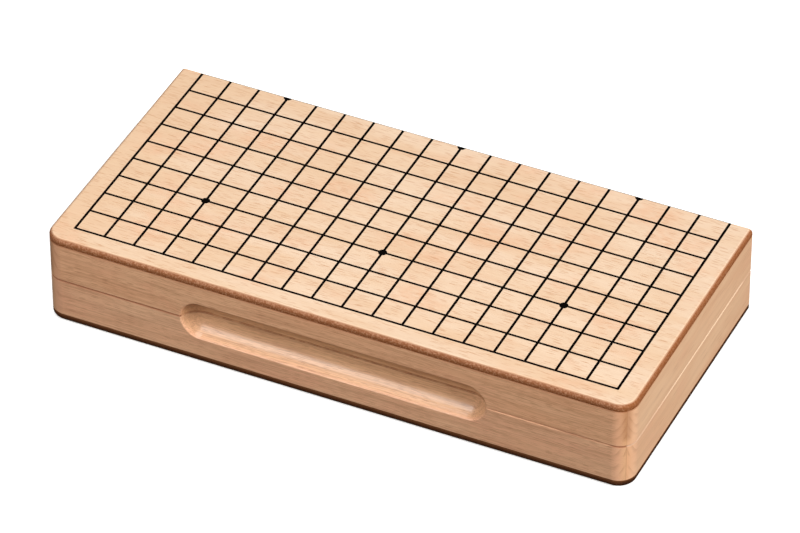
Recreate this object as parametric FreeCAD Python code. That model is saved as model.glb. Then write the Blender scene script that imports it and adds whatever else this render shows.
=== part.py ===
import FreeCAD, Part
import math
import os

# A folding go board that is also the case for its stones: two shallow beech trays, hinged along
# the board's middle line. Closed, it shows one half of the playing grid on top and the other half
# underneath. Laid open and turned over, the two faces meet at the fold and make the whole board.
#
# Frame: +X runs along the fold, +Y points from the finger groove to the fold, and +Z is up. The
# origin is the centre of the wooden footprint, on the surface that the closed case stands on.
# All sizes are in millimetres.
#
# Both halves come from one set of functions, in a "half frame": its z is 0 in the middle of the
# seam between the halves, and grows outwards to the playing face. The upper half is that shape
# raised to the seam, and the lower half is its mirror image.

# Playing grid
CELLS_PER_HALF = 9         # rows of squares on one half; the whole board is twice that each way
CELL_ACROSS = 15.4         # line spacing along the fold
CELL_ALONG = 14.8          # line spacing away from the fold
SIDE_BORDER = 11.4         # bare wood from the outer lines to the left and right edges
FRONT_BORDER = 11.2        # bare wood from the first line to the front edge
LINE_WIDTH = 1.3
MIDDLE_LINE_WIDTH = 0.25   # how far the line along the fold reaches into each half
STAR_INSET = 3             # lines from the board's edge to its outer marked crossings
STAR_DIAMETER = 4.3        # the marked crossings
INK_DEPTH = 0.12           # the lines are sunk this deep and filled flush

# Panels: a dense fibre core between two veneers
VENEER_THICKNESS = 0.4
CORE_THICKNESS = 3.0
PANEL_EDGE_ROUND = 2.1     # round-over on the three outer edges, but not along the fold
PANEL_EASE = 0.35          # eased edge of the panel where it meets the rails

# Rails: solid beech, mitred at the four corners
RAIL_HEIGHT = 20.5
RAIL_THICKNESS = 12.0
CORNER_RADIUS = 9.0        # upright corners at the front
RAIL_EASE = 0.3            # eased edge of the rails where they meet the panel
RIM_CHAMFER = 0.4          # eased outer edge of each rim
INNER_EASE = 0.5           # eased inner edge of each rim
SEAM_GAP = 0.2             # between the rims of the closed case

# Finger groove, cut half in each front rail
GROOVE_LENGTH = 157.0
GROOVE_HEIGHT = 20.6
GROOVE_WALL = 4.4          # wood left behind the groove at its deepest
GROOVE_LIP_ROUND = 0.5

# Divider between the two stone compartments of each half
DIVIDER_THICKNESS = 6.0
DIVIDER_HOUSING = 2.0      # how far its ends are let into the long rails
DIVIDER_ROUND = 1.0        # rounded edges along its rim

# Hinges: brass butt hinges with their pins on the line of the back face
HINGE_LENGTH = 40.0
HINGE_INSET = 42.0         # from the case's side to the hinge
AXIS_STANDOFF = 0.15       # pin axis behind the back face, so that the open halves clear
LEAF_MARGIN = 2.65         # rim left between the leaf and the inside of the case
LEAF_THICKNESS = 1.0
LEAF_SINK = 0.05           # leaf face below the rim
LEAF_CORNER_ROUND = 1.2
PIN_RADIUS = 1.0
PIN_CLEARANCE = 0.05       # round the pin in the turning knuckles
KNUCKLE_WALL = 1.0
KNUCKLE_COUNT = 5
KNUCKLE_GAP = 0.2          # between neighbouring knuckles
KNUCKLE_EASE = 0.15        # eased ends of each knuckle
KNUCKLE_CLEARANCE = 0.3    # round the barrel, in the wood and in the other leaf
MORTISE_CLEARANCE = 0.1    # round the leaf's edges in the wood

# Countersunk wood screws, three to a leaf
SCREW_LENGTH = 10.0
SCREW_RADIUS = 0.9
SCREW_TIP_RADIUS = 0.15
SCREW_POINT_LENGTH = 2.0
SCREW_HEAD_RADIUS = 1.8
SCREW_SLOT_WIDTH = 0.5
SCREW_SLOT_DEPTH = 0.4
SCREW_END_MARGIN = 7.0     # from the leaf's end to its outer screws
SCREW_STAGGER = 1.2        # how far the outer screws stand off the middle one's line
SCREW_CLEARANCE = 0.05     # round the head and shank in the leaf

# Closing magnets, let into the front rims
MAGNET_RADIUS = 3.0
MAGNET_THICKNESS = 2.5
MAGNET_SINK = 0.1          # magnet face below the rim
MAGNET_FIT = 0.05          # glue gap round the magnet
MAGNET_EASE = 0.2          # eased edges of the magnet
MAGNET_INSET = 30.0        # from the case's side to the magnet's middle

# How far a cutting tool runs past the wood
OVERCUT = 1.0

# Worked out from the sizes above
GRID_WIDTH = 2 * CELLS_PER_HALF * CELL_ACROSS
GRID_HALF_DEPTH = CELLS_PER_HALF * CELL_ALONG
HALF_WIDTH = GRID_WIDTH / 2 + SIDE_BORDER
HALF_DEPTH = (GRID_HALF_DEPTH + FRONT_BORDER) / 2
FIRST_ROW_Y = HALF_DEPTH - GRID_HALF_DEPTH
PANEL_THICKNESS = CORE_THICKNESS + 2 * VENEER_THICKNESS
RIM_Z = SEAM_GAP / 2
PANEL_Z = RIM_Z + RAIL_HEIGHT
FACE_Z = PANEL_Z + PANEL_THICKNESS
INNER_HALF_WIDTH = HALF_WIDTH - RAIL_THICKNESS
INNER_HALF_DEPTH = HALF_DEPTH - RAIL_THICKNESS
AXIS_Y = HALF_DEPTH + AXIS_STANDOFF
LEAF_EDGE_Y = INNER_HALF_DEPTH + LEAF_MARGIN
LEAF_Z = RIM_Z + LEAF_SINK
LEAF_TOP_Z = LEAF_Z + LEAF_THICKNESS
KNUCKLE_RADIUS = PIN_RADIUS + KNUCKLE_WALL
BARREL_CLEAR_RADIUS = KNUCKLE_RADIUS + KNUCKLE_CLEARANCE
HINGE_X = HALF_WIDTH - HINGE_INSET - HINGE_LENGTH / 2

UPPER_KNUCKLES = range(1, KNUCKLE_COUNT, 2)
LOWER_KNUCKLES = range(0, KNUCKLE_COUNT, 2)
SIDES = {"left": -1, "right": 1}


def vector(x, y, z):
    return FreeCAD.Vector(x, y, z)


def block(low, high):
    """A box between two opposite corners."""
    size = [b - a for a, b in zip(low, high)]
    return Part.makeBox(*size, vector(*low))


def upright(radius, height, x, y, z):
    """A cylinder standing on z."""
    return Part.makeCylinder(radius, height, vector(x, y, z))


def along_axis(radius, start, end):
    """A cylinder on the hinge axis, between two x positions."""
    return Part.makeCylinder(radius, end - start, vector(start, AXIS_Y, 0), vector(1, 0, 0))


def round_edges(cylinder):
    """The two end circles of a cylinder."""
    return [edge for edge in cylinder.Edges if isinstance(edge.Curve, Part.Circle)]


def moved(shape, x):
    return shape.translated(vector(x, 0, 0))


def line(a, b):
    return Part.LineSegment(vector(*a), vector(*b)).toShape()


def rectangle(x0, y0, x1, y1, z):
    corners = [vector(x0, y0, z), vector(x1, y0, z), vector(x1, y1, z), vector(x0, y1, z)]
    return Part.makePolygon(corners + corners[:1])


def case_outline(z):
    """The case seen from above: square at the fold, with round corners at the front."""
    x, y, r = HALF_WIDTH, HALF_DEPTH, CORNER_RADIUS
    bulge = r * (1 - math.sqrt(0.5))
    left = Part.Arc(vector(-x, r - y, z), vector(bulge - x, bulge - y, z), vector(r - x, -y, z))
    right = Part.Arc(vector(x - r, -y, z), vector(x - bulge, bulge - y, z), vector(x, r - y, z))
    return Part.Wire([
        left.toShape(),
        line((r - x, -y, z), (x - r, -y, z)),
        right.toShape(),
        line((x, r - y, z), (x, y, z)),
        line((x, y, z), (-x, y, z)),
        line((-x, y, z), (-x, r - y, z)),
    ])


def case_block(low, high):
    """The whole footprint as a solid between two heights."""
    return Part.Face(case_outline(low)).extrude(vector(0, 0, high - low))


def outer_edges(solid, z):
    """The edges of a case block at height z, apart from the one along the fold."""
    edges = []
    for edge in solid.Edges:
        box = edge.BoundBox
        level = abs(box.ZMin - z) < 1e-6 and abs(box.ZMax - z) < 1e-6
        if level and box.YMin < HALF_DEPTH - 1e-6:
            edges.append(edge)
    return edges


# ---- Panel ----

def panel():
    """The panel before it is told apart into its layers, with its edges worked."""
    solid = case_block(PANEL_Z, FACE_Z)
    solid = solid.makeFillet(PANEL_EDGE_ROUND, outer_edges(solid, FACE_Z))
    return solid.makeChamfer(PANEL_EASE, outer_edges(solid, PANEL_Z))


def layer(solid, low, high):
    """The part of a panel between two heights."""
    reach = HALF_WIDTH + OVERCUT
    return solid.common(block((-reach, -reach, low), (reach, reach, high)))


def cell_outlines(z):
    """The bare wood of each square, which the lines leave open."""
    half_line = LINE_WIDTH / 2
    outlines = []
    for column in range(2 * CELLS_PER_HALF):
        x = column * CELL_ACROSS - GRID_WIDTH / 2
        for row in range(CELLS_PER_HALF):
            y = FIRST_ROW_Y + row * CELL_ALONG
            far_line = MIDDLE_LINE_WIDTH if row == CELLS_PER_HALF - 1 else half_line
            outlines.append(rectangle(
                x + half_line, y + half_line,
                x + CELL_ACROSS - half_line, y + CELL_ALONG - far_line, z))
    return outlines


def stars(z):
    """The marked crossings of half a board; those on the fold are cut to half discs later."""
    discs = []
    for column in (STAR_INSET, CELLS_PER_HALF, 2 * CELLS_PER_HALF - STAR_INSET):
        for row in (STAR_INSET, CELLS_PER_HALF):
            x = column * CELL_ACROSS - GRID_WIDTH / 2
            y = FIRST_ROW_Y + row * CELL_ALONG
            discs.append(upright(STAR_DIAMETER / 2, INK_DEPTH, x, y, z))
    return discs


def grid_inlay():
    """The lines of half a board as one lattice, with its marked crossings, flush with the face."""
    z = FACE_Z - INK_DEPTH
    half_line = LINE_WIDTH / 2
    edge_x = GRID_WIDTH / 2 + half_line
    outline = rectangle(-edge_x, FIRST_ROW_Y - half_line, edge_x, HALF_DEPTH, z)
    lattice = Part.makeFace([outline] + cell_outlines(z), "Part::FaceMakerBullseye")
    inlay = lattice.extrude(vector(0, 0, INK_DEPTH)).multiFuse(stars(z))
    beyond_fold = block((-HALF_WIDTH, HALF_DEPTH, z), (HALF_WIDTH, HALF_DEPTH + STAR_DIAMETER, FACE_Z))
    return inlay.cut(beyond_fold).removeSplitter()


# ---- Frame of four rails ----

def groove_tool():
    """The round-nosed cutter's path: a rod with ball ends, whose axis lies in front of the case."""
    depth = RAIL_THICKNESS - GROOVE_WALL
    half_height = GROOVE_HEIGHT / 2
    radius = (half_height ** 2 + depth ** 2) / (2 * depth)
    centre = GROOVE_LENGTH / 2 - half_height
    slant = radius * math.sqrt(0.5)
    left = Part.Arc(vector(-centre - radius, 0, 0), vector(-centre - slant, slant, 0),
                    vector(-centre, radius, 0))
    right = Part.Arc(vector(centre, radius, 0), vector(centre + slant, slant, 0),
                     vector(centre + radius, 0, 0))
    profile = Part.Wire([
        left.toShape(),
        line((-centre, radius, 0), (centre, radius, 0)),
        right.toShape(),
        line((centre + radius, 0, 0), (-centre - radius, 0, 0)),
    ])
    rod = Part.Face(profile).revolve(vector(0, 0, 0), vector(1, 0, 0), 360)
    return rod.translated(vector(0, depth - radius - HALF_DEPTH, 0))


def groove_lip(solid):
    """The edges where the groove meets the front face."""
    edges = []
    for edge in solid.Edges:
        box = edge.BoundBox
        on_face = abs(box.YMin + HALF_DEPTH) < 1e-4 and abs(box.YMax + HALF_DEPTH) < 1e-4
        if on_face and max(abs(box.ZMin), abs(box.ZMax)) < GROOVE_HEIGHT / 2 + 1e-4:
            edges.append(edge)
    return edges


def grooved_block():
    """The footprint, both halves deep, so that the groove's lip is rounded in one piece."""
    solid = case_block(-PANEL_Z, PANEL_Z).cut(groove_tool())
    return solid.makeFillet(GROOVE_LIP_ROUND, groove_lip(solid))


def rail_envelope():
    """A solid block with the outline of a half's rails, its outer edges eased."""
    solid = case_block(RIM_Z, PANEL_Z)
    solid = solid.makeChamfer(RIM_CHAMFER, outer_edges(solid, RIM_Z))
    return solid.makeChamfer(RAIL_EASE, outer_edges(solid, PANEL_Z))


def inner_void():
    """The space inside the rails, with its mouth eased at the rim."""
    x, y, ease = INNER_HALF_WIDTH, INNER_HALF_DEPTH, INNER_EASE
    void = block((-x, -y, RIM_Z - OVERCUT), (x, y, PANEL_Z + OVERCUT))
    mouth = Part.makeLoft([
        rectangle(-x - ease, -y - ease, x + ease, y + ease, RIM_Z),
        rectangle(-x, -y, x, y, RIM_Z + ease),
    ], True)
    return void.fuse(mouth)


def rail_frame():
    """The four rails of a half before they are told apart at the mitres."""
    solid = grooved_block().common(rail_envelope()).cut(inner_void())
    tools = [divider()]
    for side in SIDES.values():
        tools.append(magnet_bore(side))
        tools.extend(hinge_seat(side))
    return solid.cut(tools)


def mitre_region(direction):
    """The space of one side of the frame, between its two mitre planes."""
    outer_x = HALF_WIDTH + OVERCUT
    outer_y = HALF_DEPTH + OVERCUT
    x, y = INNER_HALF_WIDTH, INNER_HALF_DEPTH
    corners = {
        "front": [(-outer_x, -outer_y), (outer_x, -outer_y), (x, -y), (-x, -y)],
        "back": [(-outer_x, outer_y), (outer_x, outer_y), (x, y), (-x, y)],
        "left": [(-outer_x, -outer_y), (-outer_x, outer_y), (-x, y), (-x, -y)],
        "right": [(outer_x, -outer_y), (outer_x, outer_y), (x, y), (x, -y)],
    }[direction]
    points = [vector(px, py, 0) for px, py in corners]
    return Part.Face(Part.makePolygon(points + points[:1])).extrude(vector(0, 0, PANEL_Z))


# ---- Divider ----

def divider():
    y = INNER_HALF_DEPTH + DIVIDER_HOUSING
    strip = block((-DIVIDER_THICKNESS / 2, -y, RIM_Z), (DIVIDER_THICKNESS / 2, y, PANEL_Z))
    rim_edges = []
    for edge in strip.Edges:
        box = edge.BoundBox
        if box.YLength > y and abs(box.ZMax - RIM_Z) < 1e-6:
            rim_edges.append(edge)
    return strip.makeFillet(DIVIDER_ROUND, rim_edges)


# ---- Closing magnets ----

def magnet_place(side):
    return side * (HALF_WIDTH - MAGNET_INSET), RAIL_THICKNESS / 2 - HALF_DEPTH


def magnet(side):
    disc = upright(MAGNET_RADIUS, MAGNET_THICKNESS, *magnet_place(side), RIM_Z + MAGNET_SINK)
    return disc.makeChamfer(MAGNET_EASE, round_edges(disc))


def magnet_bore(side):
    depth = MAGNET_THICKNESS + MAGNET_SINK
    return upright(MAGNET_RADIUS + MAGNET_FIT, depth + OVERCUT, *magnet_place(side), RIM_Z - OVERCUT)


# ---- Hinges: each is drawn at the case's middle, then moved along the fold ----

def knuckle_span(index):
    """Where one knuckle's share of the barrel starts and ends."""
    pitch = HINGE_LENGTH / KNUCKLE_COUNT
    start = index * pitch - HINGE_LENGTH / 2
    return start, start + pitch


def screw_places():
    """The three screws of a leaf, staggered in the flat between its barrel and its free edge."""
    middle = (AXIS_Y - BARREL_CLEAR_RADIUS + LEAF_EDGE_Y) / 2
    reach = HINGE_LENGTH / 2 - SCREW_END_MARGIN
    offset = SCREW_STAGGER / 2
    return [(-reach, middle - offset), (0, middle + offset), (reach, middle - offset)]


def screw_body(x, y, clearance):
    """A countersunk screw with no slot, or with a clearance the hole that it sits in."""
    sink = SCREW_HEAD_RADIUS - SCREW_RADIUS
    shank_end = LEAF_Z + SCREW_LENGTH - SCREW_POINT_LENGTH
    head = Part.makeCone(SCREW_HEAD_RADIUS + clearance, SCREW_RADIUS + clearance, sink,
                         vector(x, y, LEAF_Z))
    shank = upright(SCREW_RADIUS + clearance, shank_end - LEAF_Z - sink, x, y, LEAF_Z + sink)
    point = Part.makeCone(SCREW_RADIUS + clearance, SCREW_TIP_RADIUS + clearance,
                          SCREW_POINT_LENGTH, vector(x, y, shank_end))
    return head.multiFuse([shank, point]).removeSplitter()


def screw(x, y):
    """A slotted countersunk screw, its head flush with the leaf."""
    half_slot = SCREW_SLOT_WIDTH / 2
    slot = block((x - SCREW_HEAD_RADIUS, y - half_slot, LEAF_Z - OVERCUT),
                 (x + SCREW_HEAD_RADIUS, y + half_slot, LEAF_Z + SCREW_SLOT_DEPTH))
    return screw_body(x, y, 0).cut(slot)


def leaf_plate(own_knuckles):
    """The flat of a leaf, its free corners rounded, notched for the other leaf's knuckles."""
    half = HINGE_LENGTH / 2
    plate = block((-half, LEAF_EDGE_Y, LEAF_Z), (half, AXIS_Y, LEAF_TOP_Z))
    corners = []
    for edge in plate.Edges:
        stands = edge.BoundBox.ZLength > LEAF_THICKNESS / 2
        if stands and abs(edge.BoundBox.YMin - LEAF_EDGE_Y) < 1e-6:
            corners.append(edge)
    plate = plate.makeFillet(LEAF_CORNER_ROUND, corners)
    for index in set(range(KNUCKLE_COUNT)) - set(own_knuckles):
        plate = plate.cut(along_axis(BARREL_CLEAR_RADIUS, *knuckle_span(index)))
    return plate


def leaf(own_knuckles, pin_clearance):
    """A hinge leaf with its knuckles, bored for the pin."""
    knuckles = []
    for index in own_knuckles:
        start, end = knuckle_span(index)
        start += KNUCKLE_GAP / 2 if index > 0 else 0
        end -= KNUCKLE_GAP / 2 if index < KNUCKLE_COUNT - 1 else 0
        knuckle = along_axis(KNUCKLE_RADIUS, start, end)
        knuckles.append(knuckle.makeChamfer(KNUCKLE_EASE, round_edges(knuckle)))
    reach = HINGE_LENGTH / 2 + OVERCUT
    tools = [along_axis(PIN_RADIUS + pin_clearance, -reach, reach)]
    for x, y in screw_places():
        tools.append(screw_body(x, y, SCREW_CLEARANCE))
    return leaf_plate(own_knuckles).multiFuse(knuckles).cut(tools)


def hinge_seat(side):
    """What is cut from the back rail for one hinge: leaf mortise, barrel notch and pilot holes."""
    half = HINGE_LENGTH / 2 + MORTISE_CLEARANCE
    end = HINGE_LENGTH / 2 + KNUCKLE_CLEARANCE
    tools = [
        block((-half, LEAF_EDGE_Y - MORTISE_CLEARANCE, RIM_Z - OVERCUT),
              (half, AXIS_Y + OVERCUT, LEAF_TOP_Z)),
        along_axis(BARREL_CLEAR_RADIUS, -end, end),
    ]
    for x, y in screw_places():
        tools.append(screw_body(x, y, 0))
    return [moved(tool, side * HINGE_X) for tool in tools]


def hinge_pin(side):
    half = HINGE_LENGTH / 2
    return moved(along_axis(PIN_RADIUS, -half, half), side * HINGE_X)


def hinge_screws():
    """The six screws of a half, as separate solids."""
    screws = []
    for side in SIDES.values():
        for x, y in screw_places():
            screws.append(moved(screw(x, y), side * HINGE_X))
    return Part.makeCompound(screws)


# ---- Assembly ----

def shared_pieces():
    """What the two halves have alike, by name, in the half frame."""
    whole_panel = panel()
    inlay = grid_inlay()
    rails = rail_frame()
    core_z = PANEL_Z + VENEER_THICKNESS
    core_top_z = FACE_Z - VENEER_THICKNESS
    pieces = {
        "face_veneer": layer(whole_panel, core_top_z, FACE_Z).cut(inlay),
        "grid_inlay": inlay,
        "panel_core": layer(whole_panel, core_z, core_top_z),
        "backing_veneer": layer(whole_panel, PANEL_Z, core_z),
        "divider": divider(),
        "hinge_screws": hinge_screws(),
    }
    for direction in ("front", "back", "left", "right"):
        pieces[direction + "_rail"] = rails.common(mitre_region(direction))
    for name, side in SIDES.items():
        pieces[name + "_magnet"] = magnet(side)
    return pieces


def half_pieces(shared, own_knuckles, pin_clearance):
    """Every piece of one half by name, in the half frame."""
    pieces = dict(shared)
    own_leaf = leaf(own_knuckles, pin_clearance)
    for name, side in SIDES.items():
        pieces[name + "_hinge_leaf"] = moved(own_leaf, side * HINGE_X)
    return pieces


def assembly():
    """Every node of the closed case by name, in the part's own frame. The pins belong to the
    lower leaves, which grip them; the upper leaves turn on them."""
    shared = shared_pieces()
    nodes = {}
    for name, shape in half_pieces(shared, UPPER_KNUCKLES, PIN_CLEARANCE).items():
        nodes["upper_" + name] = shape
    for name, shape in half_pieces(shared, LOWER_KNUCKLES, 0).items():
        nodes["lower_" + name] = shape.mirror(vector(0, 0, 0), vector(0, 0, 1))
    for name, side in SIDES.items():
        nodes[name + "_hinge_pin"] = hinge_pin(side)
    seam_height = FACE_Z
    return {name: shape.translated(vector(0, 0, seam_height)) for name, shape in nodes.items()}


def main():
    os.makedirs("parts", exist_ok=True)
    for name, shape in sorted(assembly().items()):
        solids = shape.Solids
        if not solids or not shape.isValid():
            raise RuntimeError(name + " is not a sound solid")
        volume = sum(solid.Volume for solid in solids)
        print(f"{name}: {len(solids)} solid(s), {volume:.0f} mm3")
        Part.makeCompound(solids).exportStep(os.path.join("parts", name + ".step"))


main()
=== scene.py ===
"""Looks of a folding go board: a hinged beech case with a printed half grid on each outer face.

Every length here is in millimetres until it meets Blender, which works in metres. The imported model
gives the shapes and places of the solids. This script gives each of them its finish, and builds the
printed grids and the hinge screws, which stand for plainer solids of the same size.
"""

from __future__ import annotations

import logging
import math
from dataclasses import dataclass, field, replace
from enum import Enum
from typing import Any, Callable, Iterable, Union

import bpy
from mathutils import Matrix, Vector

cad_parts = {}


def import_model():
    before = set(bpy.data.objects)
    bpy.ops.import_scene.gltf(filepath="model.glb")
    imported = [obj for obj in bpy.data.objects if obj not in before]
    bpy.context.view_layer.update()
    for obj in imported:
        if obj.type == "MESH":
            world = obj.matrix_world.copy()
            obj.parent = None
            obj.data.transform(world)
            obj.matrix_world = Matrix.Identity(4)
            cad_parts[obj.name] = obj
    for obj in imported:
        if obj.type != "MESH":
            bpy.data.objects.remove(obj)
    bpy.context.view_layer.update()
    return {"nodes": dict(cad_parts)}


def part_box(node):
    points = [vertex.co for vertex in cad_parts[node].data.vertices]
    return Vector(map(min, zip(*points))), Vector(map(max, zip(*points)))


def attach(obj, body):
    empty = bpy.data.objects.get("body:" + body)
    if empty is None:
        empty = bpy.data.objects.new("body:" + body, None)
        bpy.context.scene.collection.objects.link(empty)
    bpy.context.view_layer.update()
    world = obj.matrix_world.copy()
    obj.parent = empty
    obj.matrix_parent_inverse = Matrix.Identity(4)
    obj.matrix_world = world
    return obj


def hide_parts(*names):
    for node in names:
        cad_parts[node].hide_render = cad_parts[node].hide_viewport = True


LOG = logging.getLogger("go_board")
MM = 0.001
CORNER_RADIUS = 9.0

Colour = tuple[float, float, float]
Number = Union[int, float]
WHITE: Colour = (1.0, 1.0, 1.0)


class Half(Enum):
    """One of the two hinged halves, with the way that its playing face looks."""

    UPPER = 1
    LOWER = -1

    @property
    def prefix(self) -> str:
        """The start of this half's node names."""
        return self.name.lower() + "_"

    @property
    def body(self) -> str:
        """The body that this half's pieces ride on."""
        return self.prefix + "half"


class Cut(Enum):
    """How a board lies in the case, as its axes: along the fibres, across its face, through it."""

    SHEET = ("X", "Y", "Z")
    LONG_RAIL = ("X", "Z", "Y")
    SIDE_RAIL = ("Y", "Z", "X")


# --- Node trees ---


def operation(name: str, reflected: bool = False) -> Callable[..., "Wire"]:
    """Makes a method of Wire that adds a Math node.

    Args:
        name: The node's operation.
        reflected: Whether the other value stands before the wire.

    Returns:
        The method.
    """

    def method(self: "Wire", *others: Value) -> "Wire":
        """The operation's result."""
        values = (*others, self) if reflected else (self, *others)
        return self.bench.wire("ShaderNodeMath", {"operation": name}, dict(enumerate(values)))

    return method


@dataclass(frozen=True, eq=False)
class Wire:
    """The output of a node, on which arithmetic adds Math nodes.

    Attributes:
        bench: The node tree's bench.
        socket: The output socket.
    """

    bench: "Bench"
    socket: bpy.types.NodeSocket

    __add__ = __radd__ = operation("ADD")
    __sub__ = operation("SUBTRACT")
    __rsub__ = operation("SUBTRACT", reflected=True)
    __mul__ = __rmul__ = operation("MULTIPLY")
    __truediv__ = operation("DIVIDE")
    __abs__ = operation("ABSOLUTE")
    root = operation("SQRT")
    fraction = operation("FRACT")
    at_least = operation("MAXIMUM")
    at_most = operation("MINIMUM")

    def ramp(self, start: float, full: float, least: float = 0.0, most: float = 1.0) -> "Wire":
        """A smooth step: the least up to start, the most from full on, which may be below start."""
        return self.bench.wire("ShaderNodeMapRange", {"interpolation_type": "SMOOTHSTEP"}, {
            "Value": self, "From Min": start, "From Max": full, "To Min": least, "To Max": most})


Value = Union[Wire, Number, Colour, str, bool, bpy.types.Material]
Point = tuple[Value, Value, Value]
Place = dict[str, Wire]


class Bench:
    """A node tree under construction."""

    def __init__(self, tree: bpy.types.NodeTree) -> None:
        """Empties a shader or geometry node tree and starts on it."""
        self.tree = tree
        tree.nodes.clear()

    def node(self, kind: str, settings: dict[str, Any] | None = None,
             inputs: dict[int | str, Value] | None = None) -> bpy.types.Node:
        """Adds one node.

        Args:
            kind: The node's type.
            settings: Properties of the node, set before its sockets are.
            inputs: Values or wires for its sockets, by name or number.

        Returns:
            The node.
        """
        node = self.tree.nodes.new(kind)
        for name, value in (settings or {}).items():
            setattr(node, name, value)
        for key, value in (inputs or {}).items():
            socket = node.inputs[key]
            if isinstance(value, Wire):
                self.tree.links.new(value.socket, socket)
            elif socket.type == "RGBA":
                socket.default_value = (*value, 1.0)
            else:
                socket.default_value = value
        return node

    def wire(self, kind: str, settings: dict[str, Any] | None = None,
             inputs: dict[int | str, Value] | None = None, output: int | str = 0) -> Wire:
        """Adds one node and gives one of its outputs; the other arguments are those of node()."""
        return Wire(self, self.node(kind, settings, inputs).outputs[output])

    def vector(self, parts: Iterable[Value]) -> Wire:
        """Up to three values as one vector."""
        return self.wire("ShaderNodeCombineXYZ", inputs=dict(enumerate(parts)))


class ShaderBench(Bench):
    """A material under construction."""

    def __init__(self, name: str) -> None:
        """Starts a material.

        Args:
            name: The material's name.
        """
        self.material = bpy.data.materials.new(name)
        self.material.use_nodes = True
        super().__init__(self.material.node_tree)

    @classmethod
    def on(cls, tree: bpy.types.NodeTree) -> "ShaderBench":
        """Starts on a shader tree that belongs to no material, such as a world's.

        Args:
            tree: The shader tree.

        Returns:
            The bench.
        """
        bench = cls.__new__(cls)
        Bench.__init__(bench, tree)
        return bench

    def place(self, shift: tuple[float, float, float] = (0.0, 0.0, 0.0)) -> Place:
        """The shaded point in the object's frame.

        Args:
            shift: How far the pattern is moved, in millimetres.

        Returns:
            The coordinates X, Y and Z, in millimetres.
        """
        point = self.wire("ShaderNodeTexCoord", output="Object")
        scaled = self.wire("ShaderNodeVectorMath", {"operation": "MULTIPLY_ADD"}, {
            0: point, 1: (1 / MM,) * 3, 2: shift})
        parts = self.node("ShaderNodeSeparateXYZ", inputs={0: scaled})
        return {axis: Wire(self, parts.outputs[axis]) for axis in "XYZ"}

    def noise(self, point: Point, detail: float = 0.0, roughness: float = 0.5) -> Wire:
        """Noise from 0 to 1 with blotches about a unit across; detail counts its finer layers."""
        return self.wire("ShaderNodeTexNoise", inputs={
            "Vector": self.vector(point), "Scale": 1.0, "Detail": detail, "Roughness": roughness})

    def clouds(self, place: Place, size: float, detail: float) -> Wire:
        """Noise with blotches of a size in millimetres, the same in every direction."""
        return self.noise((place["X"] / size, place["Y"] / size, place["Z"] / size), detail)

    def cells(self, point: Point) -> tuple[Wire, Wire]:
        """Scattered points, about one in each unit cube.

        Args:
            point: Where the pattern is read.

        Returns:
            The distance to the nearest point, and a number from 0 to 1 that belongs to that point.
        """
        node = self.node("ShaderNodeTexVoronoi", inputs={"Vector": self.vector(point), "Scale": 1.0})
        chance = self.wire("ShaderNodeSeparateColor", inputs={0: Wire(self, node.outputs["Color"])})
        return Wire(self, node.outputs["Distance"]), chance

    def mix(self, share: Value, first: Wire | Colour, second: Wire | Colour) -> Wire:
        """A colour between two others.

        Args:
            share: 0 for the first, 1 for the second.
            first: A colour.
            second: Another colour.

        Returns:
            The mixed colour.
        """
        sockets = {"factor": 0, "first": 6, "second": 7, "result": 2}
        return self.wire("ShaderNodeMix", {"data_type": "RGBA"}, {
            sockets["factor"]: share, sockets["first"]: first, sockets["second"]: second,
        }, sockets["result"])

    def layered(self, colour: Wire, *layers: tuple[Value, Colour]) -> Wire:
        """Lays further colours over a colour.

        Args:
            colour: The lowest colour.
            layers: The share and the colour of each further layer, from the lowest up.

        Returns:
            The mixed colour.
        """
        for share, tint in layers:
            colour = self.mix(share, colour, tint)
        return colour

    def finish(self, colour: Wire | Colour, roughness: Value, height: Wire | None = None,
               relief: float = 0.05, **others: Value) -> bpy.types.Material:
        """Closes the material with its surface shader.

        Args:
            colour: The base colour.
            roughness: The roughness.
            height: The surface's height from 0 to 1, if it has any relief.
            relief: How high 1 stands, in millimetres.
            others: Values of the shader's other sockets, with spaces as underscores.

        Returns:
            The material.
        """
        inputs: dict[int | str, Value] = {"Base Color": colour, "Roughness": roughness}
        for name, value in others.items():
            inputs[name.replace("_", " ")] = value
        if height is not None:
            inputs["Normal"] = self.wire("ShaderNodeBump", inputs={
                "Strength": 1.0, "Distance": relief * MM, "Height": height})
        surface = self.wire("ShaderNodeBsdfPrincipled", inputs=inputs)
        self.node("ShaderNodeOutputMaterial", inputs={"Surface": surface})
        return self.material


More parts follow.
